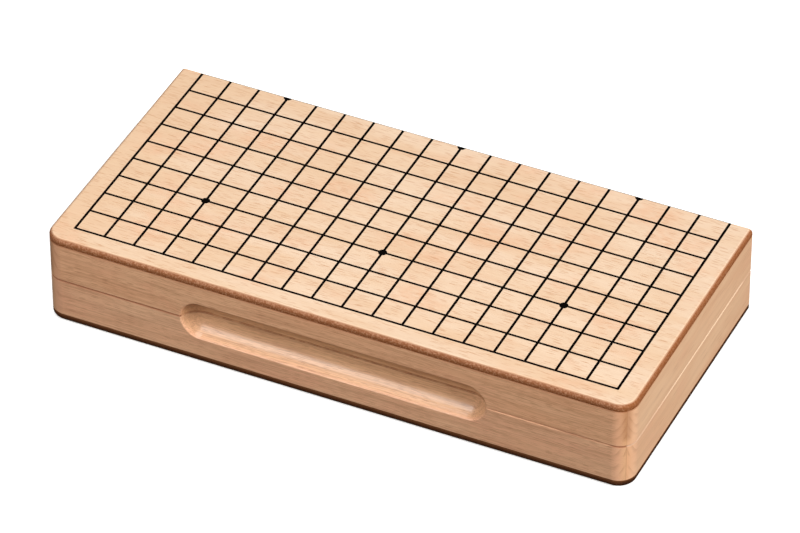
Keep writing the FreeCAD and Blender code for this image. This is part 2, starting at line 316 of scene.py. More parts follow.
class GeometryBench(Bench):
    """A geometry node tree under construction, which ends as a plain mesh."""

    def __init__(self, name: str) -> None:
        """Starts a tree.

        Args:
            name: The tree's name.
        """
        tree = bpy.data.node_groups.new(name, "GeometryNodeTree")
        super().__init__(tree)
        tree.interface.new_socket("Geometry", in_out="INPUT", socket_type="NodeSocketGeometry")
        tree.interface.new_socket("Geometry", in_out="OUTPUT", socket_type="NodeSocketGeometry")
        self.values: dict[str, Number] = {}
        self.identifiers: dict[str, str] = {}
        self.entry = self.node("NodeGroupInput")

    def size(self, name: str, value: Number) -> Wire:
        """Adds a named input.

        Args:
            name: The input's name.
            value: What the modifier sets it to; a whole number makes a whole-number input.

        Returns:
            The input's wire.
        """
        kind = "NodeSocketInt" if isinstance(value, int) else "NodeSocketFloat"
        socket = self.tree.interface.new_socket(name, in_out="INPUT", socket_type=kind)
        self.values[name] = value
        self.identifiers[name] = socket.identifier
        return Wire(self, self.entry.outputs[name])

    def box(self, sizes: Point, centre: Point) -> Wire:
        """A box of these sizes round a centre."""
        cube = self.wire("GeometryNodeMeshCube", inputs={"Size": self.vector(sizes)})
        return self.moved(cube, centre)

    def moved(self, shape: Wire, offset: Point) -> Wire:
        """The shape moved by an offset."""
        return self.wire("GeometryNodeTransform", inputs={
            "Geometry": shape, "Translation": self.vector(offset)})

    def united(self, shapes: Iterable[Wire]) -> Wire:
        """Unites shapes into one closed surface, with nothing left inside it.

        Args:
            shapes: The closed shapes.

        Returns:
            The united shape.
        """
        node = self.node("GeometryNodeMeshBoolean", {"operation": "UNION", "solver": "EXACT"},
                         {"Self Intersection": True})
        for shape in shapes:
            self.tree.links.new(shape.socket, node.inputs["Mesh 2"])
        return Wire(self, node.outputs["Mesh"])

    def cut(self, shape: Wire, tool: Wire) -> Wire:
        """Cuts a tool out of a shape.

        Args:
            shape: The closed shape.
            tool: The closed shape that is taken away.

        Returns:
            The shape without what the tool covers.
        """
        settings = {"operation": "DIFFERENCE", "solver": "EXACT"}
        inputs = {"Mesh 1": shape, "Mesh 2": tool}
        return self.wire("GeometryNodeMeshBoolean", settings, inputs, "Mesh")

    def repeated(self, shape: Wire, points: Wire, turn: Wire | None = None) -> Wire:
        """Puts a copy of a shape at each point.

        Args:
            shape: The shape.
            points: The points.
            turn: How each copy is turned, if it is.

        Returns:
            The copies, as real mesh.
        """
        inputs = {"Points": points, "Instance": shape}
        if turn is not None:
            inputs["Rotation"] = turn
        copies = self.wire("GeometryNodeInstanceOnPoints", inputs=inputs)
        return self.wire("GeometryNodeRealizeInstances", inputs={"Geometry": copies})

    def make(self, name: str, result: Wire, material: bpy.types.Material,
             points: list[Vector] | None = None) -> bpy.types.Object:
        """Runs the tree and keeps its result as a plain mesh.

        Args:
            name: The new object's name.
            result: The geometry to keep.
            material: Its finish.
            points: The points that the tree is given, if it reads any.

        Returns:
            The object, with no modifier on it.
        """
        real = self.wire("GeometryNodeRealizeInstances", inputs={"Geometry": result})
        dressed = self.wire("GeometryNodeSetMaterial", inputs={"Geometry": real, "Material": material})
        self.node("NodeGroupOutput", inputs={"Geometry": dressed})
        seed = bpy.data.meshes.new(name + "_places")
        seed.from_pydata([tuple(point) for point in points or []], [], [])
        piece = bpy.data.objects.new(name, seed)
        bpy.context.scene.collection.objects.link(piece)
        modifier = piece.modifiers.new("build", "NODES")
        modifier.node_group = self.tree
        for key, value in self.values.items():
            modifier[self.identifiers[key]] = value
        depsgraph = bpy.context.evaluated_depsgraph_get()
        mesh = bpy.data.meshes.new_from_object(piece.evaluated_get(depsgraph))
        piece.modifiers.clear()
        piece.data = mesh
        mesh.name = name
        bpy.data.meshes.remove(seed)
        bpy.data.node_groups.remove(self.tree)
        return piece


# --- Finishes ---


@dataclass(frozen=True)
class Fade:
    """A share that changes smoothly over a range of a distance, a place or a noise.

    Attributes:
        start: Where the share leaves its least.
        full: Where it reaches its most; it may be below start.
        most: The share from there on.
        least: The share before the start.
    """

    start: float
    full: float
    most: float = 1.0
    least: float = 0.0

    def of(self, value: Wire) -> Wire:
        """The share at a value."""
        return value.ramp(self.start, self.full, self.least, self.most)


@dataclass(frozen=True)
class CaseForm:
    """The closed case's sizes, for marks that follow its joints and edges.

    Attributes:
        half_width: From the middle to the left and right sides.
        front: From the frame's origin to the front, as a positive length.
        corner: The radius of the front corners.
        seam: The height at which the halves meet.
        rail: From the seam to the outer edge of the rails.
        core: From the seam to the fibreboard.
        core_thickness: The fibreboard's thickness.
    """

    half_width: float
    front: float
    corner: float
    seam: float
    rail: float
    core: float
    core_thickness: float

    @classmethod
    def from_frame(cls, corner: float) -> "CaseForm":
        """Reads the case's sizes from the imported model.

        Args:
            corner: The radius of the front corners.

        Returns:
            The form.
        """
        low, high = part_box("upper_panel_core")
        seam = (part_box("lower_panel_core")[0].z + high.z) / 2
        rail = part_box("upper_front_rail")[1].z
        sizes = (seam, rail - seam, low.z - seam, high.z - low.z)
        return cls(high.x / MM, -low.y / MM, corner, *(size / MM for size in sizes))

    def edge_distance(self, place: Place) -> Wire:
        """How far a point lies outside the case's outline, seen from above.

        Args:
            place: The shaded point.

        Returns:
            The distance to the outline, which is negative inside it.
        """
        side = abs(place["X"]) - (self.half_width - self.corner)
        front = (0 - place["Y"]) - (self.front - self.corner)
        square = side.at_least(front).at_most(0)
        reach = side.at_least(0)
        run = front.at_least(0)
        return (reach * reach + run * run).root() + square - self.corner

    def mitre_distance(self, place: Place) -> Wire:
        """How far a point lies from the mitre planes of the four corners."""
        offset = (self.half_width - abs(place["X"])) - (self.front - abs(place["Y"]))
        return abs(offset) * math.sqrt(0.5)

    def seam_distance(self, place: Place) -> Wire:
        """How far a point lies from the plane in which the halves meet."""
        return abs(place["Z"] - self.seam)

    def board_place(self, place: Place, cut: Cut) -> tuple[Wire, Wire, Wire]:
        """A point's place in its board, the same for both boards where they meet in a mitre.

        Args:
            place: The shaded point.
            cut: How the board lies in the case.

        Returns:
            The distance along the board from its end, across its face, and behind its outer face.
        """
        from_side = self.half_width - abs(place["X"])
        if cut is Cut.SHEET:
            return place["X"], place["Y"], place["Z"]
        if cut is Cut.LONG_RAIL:
            return from_side, place["Z"], self.front - abs(place["Y"])
        return place["Y"] + self.front, place["Z"], from_side


@dataclass(frozen=True)
class WoodTones:
    """The colours in one batch of beech.

    Attributes:
        pale: The lightest wood.
        warm: The darker, more orange wood.
        blush: The pink patches.
        heart: The wood deeper in a board, where a groove or a rounded corner bares it.
        dark: The ray flecks and ring edges.
    """

    pale: Colour
    warm: Colour
    blush: Colour
    heart: Colour
    dark: Colour

    def whitened(self, share: float) -> "WoodTones":
        """These tones, each moved towards white by a share of the way."""
        colours = (self.pale, self.warm, self.blush, self.heart, self.dark)
        return WoodTones(*(tuple(part + (1 - part) * share for part in colour) for colour in colours))


@dataclass(frozen=True)
class Figure:
    """A layer of the wood's figure: noise drawn out along the fibres.

    Attributes:
        length: Length of a blotch along the fibres.
        width: Its width across them.
        contrast: The layer's share, by the noise.
        detail: How many finer layers the noise has.
        roughness: How strong the finer layers are.
        shift: How far it is moved along, across and through the board, in lengths and widths.
    """

    length: float
    width: float
    contrast: Fade = Fade(0.0, 1.0)
    detail: float = 0.0
    roughness: float = 0.5
    shift: tuple[float, float, float] = (0.0, 0.0, 0.0)

    def noise(self, bench: ShaderBench, fibres: Point) -> Wire:
        """Reads the layer's noise.

        Args:
            bench: The material's bench.
            fibres: The coordinates along, across and through the board.

        Returns:
            The noise, from 0 to 1.
        """
        along, across, through = fibres
        spans = (along / self.length, across / self.width, through / self.width)
        point = tuple(span + move if move else span for span, move in zip(spans, self.shift))
        return bench.noise(point, self.detail, self.roughness)

    def draw(self, bench: ShaderBench, fibres: Point) -> Wire:
        """The layer's share at a point along, across and through the board."""
        return self.contrast.of(self.noise(bench, fibres))


BENDS = Figure(length=55.0, width=30.0, detail=1.0)
WARMTH = Figure(length=60.0, width=14.0, contrast=Fade(0.30, 0.72), detail=3.0, roughness=0.55)
BLUSHES = Figure(length=44.0, width=24.0, contrast=Fade(0.48, 0.70), detail=2.0, roughness=0.55,
                 shift=(7.0, 0.0, 0.0))
MOTTLES = Figure(length=4.5, width=2.2, contrast=Fade(0.32, 0.60, most=0.70, least=0.25),
                 detail=2.0, roughness=0.6)
STREAKS = Figure(length=80.0, width=3.6, contrast=Fade(0.36, 0.66), detail=1.0)
FIBRES = Figure(length=34.0, width=0.6, contrast=Fade(0.40, 0.66), detail=1.0)


@dataclass(frozen=True)
class Flecks:
    """Ray flecks: short lens-shaped dashes along the fibres.

    Attributes:
        length: Length of the longest.
        width: Width of the widest.
        per_area: How many there are in a square millimetre.
        strength: How dark they are.
        crowds: The noise that makes them larger in places.
        sizes: Their smallest and largest size in that noise, as a share of the usual one.
        core: How much of a fleck's reach is fully dark.
        faintest: The share of the strength that the faintest fleck has.
    """

    length: float
    width: float
    per_area: float
    strength: float
    crowds: Figure = Figure(length=26.0, width=7.0, shift=(0.0, 0.0, 11.0))
    sizes: tuple[float, float] = (0.75, 1.25)
    core: float = 0.65
    faintest: float = 0.3

    def draw(self, bench: ShaderBench, fibres: tuple[Wire, Wire, Wire]) -> Wire:
        """Draws the flecks.

        Args:
            bench: The material's bench.
            fibres: The coordinates along, across and through the board.

        Returns:
            1 in a dark fleck, 0 outside.
        """
        along, across, through = fibres
        # A fleck is where a face passes within reach of a cell's point. So a face meets 2 * reach
        # flecks in each cell's area, and the longest fleck is 2 * reach cells long.
        reach = (self.per_area * self.length * self.width / 8) ** (1 / 3)
        cell_length = self.length / (2 * reach)
        cell_width = self.width / (2 * reach)
        smallest, largest = self.sizes
        size = self.crowds.noise(bench, fibres) * (largest - smallest) + smallest
        distance, chance = bench.cells((along / cell_length, across / cell_width, through / cell_width))
        dark = (distance / size).ramp(reach, reach * self.core)
        return dark * (chance * (1 - self.faintest) + self.faintest)


@dataclass(frozen=True)
class Rings:
    """Growth rings as thin darker lines.

    Attributes:
        spacing: Distance between rings.
        lean: The angle between a ring and the board's edge face, in degrees; 90 runs with the face.
        strength: How dark the lines are.
        phase: Where the first ring lies.
        bend: How far the rings bend, in spacings.
        bend_length: Length of a bend along the board.
        bend_width: Its width across and through the board.
        bend_apart: How far apart on the case two boards have to be to bend in their own ways.
        line: How the dark of a line rises over one spacing.
    """

    spacing: float
    lean: float
    strength: float
    phase: float = 0.0
    bend: float = 3.2
    bend_length: float = 110.0
    bend_width: float = 30.0
    bend_apart: float = 150.0
    line: Fade = Fade(0.45, 1.0)

    def draw(self, bench: ShaderBench, board_place: tuple[Wire, Wire, Wire], side: Wire) -> Wire:
        """Draws the rings, which meet in a point at each mitre.

        Args:
            bench: The material's bench.
            board_place: The distances along, across and behind the board's face.
            side: The place between the case's left and right sides.

        Returns:
            A value that rises over each ring to 1 at its edge.
        """
        run, across, depth = board_place
        lean = math.radians(self.lean)
        ring = (across * math.cos(lean) - depth * math.sin(lean)) / self.spacing
        through = depth / self.bend_width + side / self.bend_apart
        bends = bench.noise((run / self.bend_length, across / self.bend_width, through), detail=1.0)
        return self.line.of((ring + bends * self.bend + self.phase).fraction())


@dataclass(frozen=True)
class RailFigure:
    """What the figure of a solid board has more than a sheet's: its ends and its deeper wood, and the
    painted shade in its finger groove.

    Attributes:
        end: The end of the board, by the distance from it.
        end_blush: How pink it is there.
        end_calm: How much of the fibres and flecks is gone there.
        end_rings: How dark the rings are there, by a noise.
        end_patch: That noise's height and length in millimetres, and where it is read.
        deep: The deeper wood, by the distance behind the outer face.
        deep_heart: How much of the heart's colour it has.
        groove: The finger groove, by the same distance, up to behind its floor.
        roof_shade: Painted shade on the groove's roof, which faces down, by the height above the seam.
        cheek_shade: Painted shade on the groove's left end, by X.
    """

    end: Fade = Fade(11.0, 6.0)
    end_blush: float = 0.45
    end_calm: float = 0.8
    end_rings: Fade = Fade(0.38, 0.62, most=0.34)
    end_patch: tuple[float, float, float] = (6.0, 30.0, 3.0)
    deep: Fade = Fade(0.2, 2.4)
    deep_heart: float = 0.6
    groove: Fade = Fade(10.0, 8.5)
    roof_shade: Fade = Fade(1.0, 6.0, most=0.48)
    cheek_shade: Fade = Fade(-66.0, -77.0, most=0.22)


@dataclass(frozen=True)
class JointMarks:
    """The marks where a rail meets its neighbours: glue lines, and painted highlight and painted shade
    on its edges.

    Attributes:
        glue: The glue line of a mitre, by the distance from the mitre's plane.
        glue_dark: How dark it is, by the height above the seam; it is darker in the lower half.
        edge: The eased edge at the seam, by the distance from the seam.
        edge_outline: The same edge, by the distance outside the case's outline.
        edge_depth: The same edge, by the distance behind the rail's outer face.
        side_highlight: How strongly a side rail's eased edge is painted paler, a painted highlight.
        pale: The painted highlight's colour.
        side_mitre: How much painted shade dims that edge, by the distance from the mitre's plane.
        side_front: The same, by Y.
        long_mitre: How much painted shade darkens a long rail's eased edge, by the mitre distance.
        long_left: The same, by X; the painted shade runs from the groove to the left.
        long_right: The same, by X, towards the right end.
        gap_sides: Painted shade in the gap between the halves in the groove, by the distance from the
            seam.
        gap_heart: The same, by that distance, so that the faces that meet stay clean.
        gap_start: Where the gap starts, by the distance behind the outer face.
        gap_end: Where it ends, behind the groove's floor.
        gap_breaks: How dark that painted shade is, by a noise along it.
        gap_run: Length of a dark stretch in that noise.
        outer: The eased edge next to the panel, by the distance past the rail's edge.
        outer_shade: How dark the painted shade in the crevice under the panel's rim is.
        rubbed: Where the lacquer is gone at the seam, by the distance from the seam.
    """

    glue: Fade = Fade(0.30, 0.08)
    glue_dark: Fade = Fade(2.0, -2.0, most=0.34, least=0.18)
    edge: Fade = Fade(0.62, 0.42)
    edge_outline: Fade = Fade(-1.2, -0.7)
    edge_depth: Fade = Fade(1.2, 0.7)
    side_highlight: float = 0.6
    pale: Colour = (0.79, 0.64, 0.48)
    side_mitre: Fade = Fade(9.0, 5.0, most=0.45)
    side_front: Fade = Fade(-20.0, -56.0, most=0.35)
    long_mitre: Fade = Fade(9.0, 5.0, most=0.95)
    long_left: Fade = Fade(60.0, -90.0, most=0.95)
    long_right: Fade = Fade(108.0, 120.0, most=0.42)
    gap_sides: Fade = Fade(0.70, 0.40)
    gap_heart: Fade = Fade(0.11, 0.14)
    gap_start: Fade = Fade(2.0, 3.0)
    gap_end: Fade = Fade(10.0, 9.0)
    gap_breaks: Fade = Fade(0.40, 0.55, most=0.85, least=0.45)
    gap_run: float = 5.0
    outer: Fade = Fade(-0.45, -0.25)
    outer_shade: float = 0.7
    rubbed: Fade = Fade(0.70, 0.45)


@dataclass(frozen=True)
class RimMarks:
    """The rounded rim of a face veneer, which is sanded down to the fibreboard.

    Attributes:
        board: The fibreboard's colour.
        bared: Where it shows, by the distance outside the case's outline.
        sanded: How much of it shows, by the distance from the case's left side.
        rubbed: Where the lacquer is gone, by the distance outside the outline.
    """

    board: Colour = (0.36, 0.155, 0.075)
    bared: Fade = Fade(-1.75, -1.0)
    sanded: Fade = Fade(0.0, 3.0, most=0.85, least=0.2)
    rubbed: Fade = Fade(-2.1, -1.5)


@dataclass(frozen=True)
class Lacquer:
    """The thin satin lacquer on the wood.

    Attributes:
        roughness: Its least roughness.
        cloud: Size of the blotches in its roughness.
        cloudy: How much rougher a blotch is.
        bare: How much rougher the wood is where the lacquer is rubbed off.
        coat: How strongly it reflects.
        coat_roughness: How blurred that reflection is.
        relief: How high the wood's relief stands.
    """

    roughness: float = 0.33
    cloud: float = 9.0
    cloudy: float = 0.1
    bare: float = 0.5
    coat: float = 0.55
    coat_roughness: float = 0.16
    relief: float = 0.02

    def close(self, bench: ShaderBench, colour: Wire, height: Wire, rubbed: Wire,
              sheen: float) -> bpy.types.Material:
        """Closes a wood's material.

        Args:
            bench: The material's bench.
            colour: The wood's colour.
            height: The wood's height.
            rubbed: Where the lacquer is gone.
            sheen: How much light the wood under the lacquer throws back.

        Returns:
            The material.
        """
        roughness = bench.clouds(bench.place(), self.cloud, detail=2.0) * self.cloudy
        return bench.finish(
            colour, roughness + rubbed * self.bare + self.roughness, height, self.relief,
            Specular_IOR_Level=sheen, Coat_Weight=self.coat - rubbed * self.coat,
            Coat_Roughness=self.coat_roughness)


@dataclass(frozen=True)
class Beech:
    """Lacquered beech, coloured by its height in the log, rings, ray flecks and fibres.

    Attributes:
        name: The material's name.
        cut: How the board lies in the case.
        tones: Its colours.
        flecks: Its ray flecks.
        rings: Its growth rings.
        form: The case's form.
        shift: Where in the log the board was cut, in millimetres.
        fibre_strength: How dark the lines between the fibres are.
        streak_strength: How strong the broad bands along the fibres are.
        warm_left: How much warmer the wood is at the left end of the case.
        left: The left end, by X.
        sheen: How much light the wood under the lacquer throws back, 0.5 for dense wood.
        sway: How far the fibres bend across and through the board.
        fleck_relief: The flecks' share of the relief; the fibres have the rest.
        rail: A solid board's further figure.
        joint: A rail's marks.
        rim: A face veneer's marks.
        lacquer: Its lacquer.
    """

    name: str
    cut: Cut
    tones: WoodTones
    flecks: Flecks
    rings: Rings
    form: CaseForm
    shift: tuple[float, float, float]
    fibre_strength: float
    streak_strength: float = 0.0
    warm_left: float = 0.0
    left: Fade = Fade(-105.0, -140.0)
    sheen: float = 0.5
    sway: tuple[float, float] = (4.0, 2.0)
    fleck_relief: float = 0.6
    rail: RailFigure = RailFigure()
    joint: JointMarks = JointMarks()
    rim: RimMarks = RimMarks()
    lacquer: Lacquer = Lacquer()

    def colour(self, bench: ShaderBench) -> tuple[Wire, Wire]:
        """Draws the wood.

        Args:
            bench: The material's bench.

        Returns:
            The wood's colour, and its height for the relief.
        """
        tones = self.tones
        place = bench.place()
        cut_place = bench.place(self.shift)
        along, across, through = (cut_place[axis] for axis in self.cut.value)
        bend = BENDS.noise(bench, (along, across, through)) - 0.5
        fibres = (along, across + bend * self.sway[0], through + bend * self.sway[1])

        warmth = WARMTH.noise(bench, fibres) + self.left.of(place["X"]) * self.warm_left
        colour = bench.mix(WARMTH.contrast.of(warmth), tones.pale, tones.warm)
        colour = bench.layered(
            colour,
            (BLUSHES.draw(bench, fibres) * MOTTLES.draw(bench, fibres), tones.blush),
            (STREAKS.draw(bench, fibres) * self.streak_strength, tones.dark),
        )

        board_place = self.form.board_place(place, self.cut)
        ring = self.rings.draw(bench, board_place, place["X"])
        ring_strength: Value = self.rings.strength
        end: Value = 0.0
        if self.cut is not Cut.SHEET:
            run, height, depth = board_place
            end = self.rail.end.of(run)
            deep = self.rail.deep.of(depth)
            groove = deep * self.rail.groove.of(depth)
            colour = bench.layered(
                colour,
                (end * self.rail.end_blush, tones.blush),
                (deep * self.rail.deep_heart, tones.heart),
                # painted shade: the groove's downward-facing roof darkened towards the dark tone
                (groove * self.rail.roof_shade.of(place["Z"] - self.form.seam), tones.dark),
                # painted shade: the groove's left end darkened towards the dark tone
                (groove * self.rail.cheek_shade.of(place["X"]), tones.dark),
            )
            patch_height, patch_length, patch = self.rail.end_patch
            point = (height / patch_height, place["X"] / patch_length, patch)
            uneven = bench.noise(point, detail=1.0)
            ring_strength = end * (self.rail.end_rings.of(uneven) - ring_strength) + ring_strength

        fibre = FIBRES.noise(bench, fibres)
        plain = 1 - end * self.rail.end_calm
        fleck = self.flecks.draw(bench, fibres) * plain
        colour = bench.layered(
            colour,
            (ring * ring_strength, tones.dark),
            (FIBRES.contrast.of(fibre) * plain * self.fibre_strength, tones.dark),
            (fleck * self.flecks.strength, tones.dark),
        )
        return colour, 1 - fleck * self.fleck_relief - fibre * (1 - self.fleck_relief)

    def joined(self, bench: ShaderBench, colour: Wire) -> Wire:
        """Adds the marks of a rail's joints.

        Args:
            bench: The material's bench.
            colour: The wood's colour.

        Returns:
            The colour with the mitres' glue lines, a painted highlight and painted shade on the eased
            edges, and painted shade in the gap between the halves in the groove.
        """
        marks = self.joint
        place = bench.place()
        mitre = self.form.mitre_distance(place)
        height = self.form.seam_distance(place)
        depth = self.form.board_place(place, self.cut)[2]
        glue = marks.glue.of(mitre) * marks.glue_dark.of(place["Z"] - self.form.seam)
        colour = bench.mix(glue, colour, self.tones.dark)

        outside = marks.edge_outline.of(self.form.edge_distance(place))
        edge = marks.edge.of(height) * outside.at_least(marks.edge_depth.of(depth))
        if self.cut is Cut.SIDE_RAIL:
            # painted highlight: the side rails' eased edge at the seam is made paler where light catches
            # it
            colour = bench.mix(edge * marks.side_highlight, colour, marks.pale)
            # painted shade: dims the side rail's lit eased edge near the mitre and towards the front
            edge_shade = marks.side_mitre.of(mitre).at_least(marks.side_front.of(place["Y"]))
        else:
            # painted shade: darkens the long rail's lit eased edge into a dark seam line
            edge_shade = marks.long_left.of(place["X"]).at_least(marks.long_mitre.of(mitre))
            edge_shade = edge_shade.at_least(marks.long_right.of(place["X"]))

        # painted shade: the dark line of the gap between the halves inside the groove, broken up along X
        run = bench.noise((place["X"] / marks.gap_run, 0.0, 0.0), detail=1.0)
        inside = marks.gap_start.of(depth) * marks.gap_end.of(depth) * marks.gap_breaks.of(run)
        gap = marks.gap_sides.of(height) * marks.gap_heart.of(height) * inside
        # painted shade: eased edges, the groove's gap and the crevice under the panel, mixed towards the
        # dark tone
        shade = (edge * edge_shade).at_least(gap).at_least(self.outer_edge(height) * marks.outer_shade)
        return bench.mix(shade, colour, self.tones.dark)

    def outer_edge(self, height: Wire) -> Wire:
        """The eased edge of a rail next to its panel, from the distance to the seam."""
        return self.joint.outer.of(height - self.form.rail)

    def rimmed(self, bench: ShaderBench, colour: Wire) -> Wire:
        """Browns the rounded rim of a face veneer.

        Args:
            bench: The material's bench.
            colour: The wood's colour.

        Returns:
            The colour with the bared fibreboard.
        """
        place = bench.place()
        bared = self.rim.bared.of(self.form.edge_distance(place))
        sanded = self.rim.sanded.of(place["X"] + self.form.half_width)
        return bench.mix(bared * sanded, colour, self.rim.board)

    def rubbed(self, bench: ShaderBench) -> Wire:
        """Shows where sanding took the lacquer off.

        Args:
            bench: The material's bench.

        Returns:
            1 on the eased edges, 0 on the faces.
        """
        if self.cut is Cut.SHEET:
            return self.rim.rubbed.of(self.form.edge_distance(bench.place()))
        height = self.form.seam_distance(bench.place())
        return self.joint.rubbed.of(height).at_least(self.outer_edge(height))

    def make(self) -> bpy.types.Material:
        """Makes the material.

        Returns:
            The material.
        """
        bench = ShaderBench(self.name)
        colour, height = self.colour(bench)
        edged = self.rimmed if self.cut is Cut.SHEET else self.joined
        return self.lacquer.close(
            bench, edged(bench, colour), height, self.rubbed(bench), self.sheen)


@dataclass(frozen=True)
class BackingVeneer:
    """The inner veneer of a panel, with a dark glue line where its edge shows outside.

    Attributes:
        wood: The veneer's own finish.
        glue: The colour of the glue line.
        edge: The glue line, by the distance outside the case's outline.
    """

    wood: Beech
    glue: Colour = (0.12, 0.045, 0.015)
    edge: Fade = Fade(-1.0, -0.6)

    def make(self) -> bpy.types.Material:
        """Makes the material.

        Returns:
            The material.
        """
        bench = ShaderBench(self.wood.name)
        colour, height = self.wood.colour(bench)
        edge = self.edge.of(self.wood.form.edge_distance(bench.place()))
        glued = bench.mix(edge, colour, self.glue)
        return self.wood.lacquer.close(bench, glued, height, edge, self.wood.sheen)


@dataclass(frozen=True)
class Fibreboard:
    """The cut and lacquered edge of dense fibreboard: fine brown grains, darker towards the rails.

    Attributes:
        name: The material's name.
        form: The case's form.
        outer: The colour next to the face veneer.
        middle: The colour of most grains.
        inner: The colour next to the rails.
        speck: The colour of the pale grains.
        side_shade_colour: The colour towards the side edges, painted shade that dims the side strips.
        sheen: How much light its surface throws back, 0.5 for bare plastic or wood.
        grain: Size of a grain.
        ragged: How far the grains shift the colours' borders up and down.
        turn: How much of the thickness the change from inner to middle takes.
        dark_grains: The share of the inner colour, by the grains' noise.
        pale_grains: The share of the speck's colour, by the same noise.
        side_shade: The share of that painted shade, by the distance outside the case's side.
        roughness: Its roughness.
        relief: How high the grains stand.
    """

    name: str
    form: CaseForm
    outer: Colour = (0.335, 0.14, 0.066)
    middle: Colour = (0.34, 0.13, 0.055)
    inner: Colour = (0.24, 0.074, 0.018)
    speck: Colour = (0.50, 0.245, 0.135)
    side_shade_colour: Colour = (0.24, 0.074, 0.018)
    sheen: float = 0.3
    grain: float = 0.85
    ragged: float = 0.9
    turn: float = 0.45
    dark_grains: Fade = Fade(0.52, 0.36, most=0.65)
    pale_grains: Fade = Fade(0.52, 0.64, most=0.55)
    side_shade: Fade = Fade(-6.0, -1.5, most=0.5)
    roughness: float = 0.62
    relief: float = 0.05

    def make(self) -> bpy.types.Material:
        """Makes the material.

        Returns:
            The material.
        """
        bench = ShaderBench(self.name)
        place = bench.place()
        grains = bench.clouds(place, self.grain, detail=1.0)
        level = self.form.seam_distance(place) - self.form.core + (grains - 0.5) * self.ragged
        thickness = self.form.core_thickness
        turn = thickness * self.turn
        colour = bench.mix(level.ramp(0.0, turn), self.inner, self.middle)
        colour = bench.layered(
            colour,
            (level.ramp(turn, thickness), self.outer),
            (self.dark_grains.of(grains), self.inner),
            (self.pale_grains.of(grains), self.speck),
            # painted shade: the fibreboard darkened towards the left and right sides
            (self.side_shade.of(abs(place["X"]) - self.form.half_width), self.side_shade_colour),
        )
        return bench.finish(
            colour, self.roughness, grains, self.relief, Specular_IOR_Level=self.sheen)


@dataclass(frozen=True)
class PrintInk:
    """Black screen-printing ink under the lacquer.

    Attributes:
        name: The material's name.
        thick: The colour where the ink is full.
        thin: The colour where the wood's pores took some of it.
        pore_length: Length of a pore along the fold.
        pore_width: Its width.
        thinned: Where the ink is thin, by the pores' noise.
        roughness: Roughness of the full ink.
        pore_roughness: How much rougher a pore is.
        sheen: How much light the ink throws back.
        relief: How deep the pores are.
    """

    name: str = "grid_print"
    thick: Colour = (0.001, 0.0006, 0.0004)
    thin: Colour = (0.006, 0.003, 0.0015)
    pore_length: float = 3.0
    pore_width: float = 0.35
    thinned: Fade = Fade(0.5, 0.8)
    roughness: float = 0.46
    pore_roughness: float = 0.12
    sheen: float = 0.04
    relief: float = 0.01

    def make(self) -> bpy.types.Material:
        """Makes the material.

        Returns:
            The material.
        """
        bench = ShaderBench(self.name)
        place = bench.place()
        point = (place["X"] / self.pore_length, place["Y"] / self.pore_width, place["Z"])
        pores = bench.noise(point, detail=2.0)
        colour = bench.mix(self.thinned.of(pores), self.thick, self.thin)
        roughness = self.roughness + pores * self.pore_roughness
        return bench.finish(colour, roughness, pores, self.relief, Specular_IOR_Level=self.sheen)


@dataclass(frozen=True)
class Metal:
    """A worked metal with drawn lines along the fold and a light uneven tarnish.

    Attributes:
        name: The material's name.
        bright: The clean metal.
        dull: The tarnished metal.
        roughness: Roughness of the clean metal.
        tarnish: Share of the tarnish where it is strongest.
        line_width: Width of the drawn lines.
        line_length: Their length.
        line_roughness: How much rougher they are.
        cloud: Size of a tarnished place.
        tarnished: Where the tarnish is, by its noise.
        cloud_roughness: How much rougher it is there.
        relief: How deep the drawn lines are.
    """

    name: str
    bright: Colour
    dull: Colour
    roughness: float
    tarnish: float
    line_width: float
    line_length: float = 6.0
    line_roughness: float = 0.12
    cloud: float = 2.5
    tarnished: Fade = Fade(0.45, 0.75)
    cloud_roughness: float = 0.08
    relief: float = 0.006

    def make(self) -> bpy.types.Material:
        """Makes the material.

        Returns:
            The material.
        """
        bench = ShaderBench(self.name)
        place = bench.place()
        point = (place["X"] / self.line_length, place["Y"] / self.line_width,
                 place["Z"] / self.line_width)
        lines = bench.noise(point, detail=2.0, roughness=0.6)
        cloud = bench.clouds(place, self.cloud, detail=3.0)
        colour = bench.mix(self.tarnished.of(cloud) * self.tarnish, self.bright, self.dull)
        roughness = self.roughness + lines * self.line_roughness + cloud * self.cloud_roughness
        return bench.finish(colour, roughness, lines, self.relief, Metallic=1.0)


@dataclass(frozen=True)
class StudioPaper:
    """The matt white paper that the case stands on.

    Attributes:
        name: The material's name.
        white: Its colour.
        roughness: Its roughness.
        glow: How much light it gives of its own, which keeps it white behind the case.
    """

    name: str = "studio_paper"
    white: Colour = (0.80, 0.80, 0.795)
    roughness: float = 0.9
    glow: float = 0.50

    def make(self) -> bpy.types.Material:
        """Makes the material."""
        return ShaderBench(self.name).finish(
            self.white, self.roughness, Emission_Color=WHITE, Emission_Strength=self.glow)


# --- Sub-assemblies ---


@dataclass
class SubAssembly:
    """A group of pieces of one half.

    Attributes:
        nodes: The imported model's objects by name.
        half: The half that the pieces belong to.
    """

    nodes: dict[str, bpy.types.Object]
    half: Half

    def node_name(self, part: str) -> str:
        """The full node name of one of this half's parts."""
        return self.half.prefix + part

    def paint(self, part: str, material: bpy.types.Material, shared: bool = False) -> None:
        """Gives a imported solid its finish.

        Args:
            part: The solid's name within its half.
            material: The finish.
            shared: Whether both halves share the solid, so that its name stands alone.
        """
        name = part if shared else self.node_name(part)
        for slot in self.nodes[name].material_slots:
            slot.material = material
        LOG.info("%s: finished in %s", name, material.name)

    def stand_in(self, piece: bpy.types.Object, part: str, slot: str) -> None:
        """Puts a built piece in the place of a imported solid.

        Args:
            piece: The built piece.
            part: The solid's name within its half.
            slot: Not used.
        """
        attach(piece, self.half.body)
        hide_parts(self.node_name(part))
        LOG.info("%s: built with %d faces", piece.name, len(piece.data.polygons))


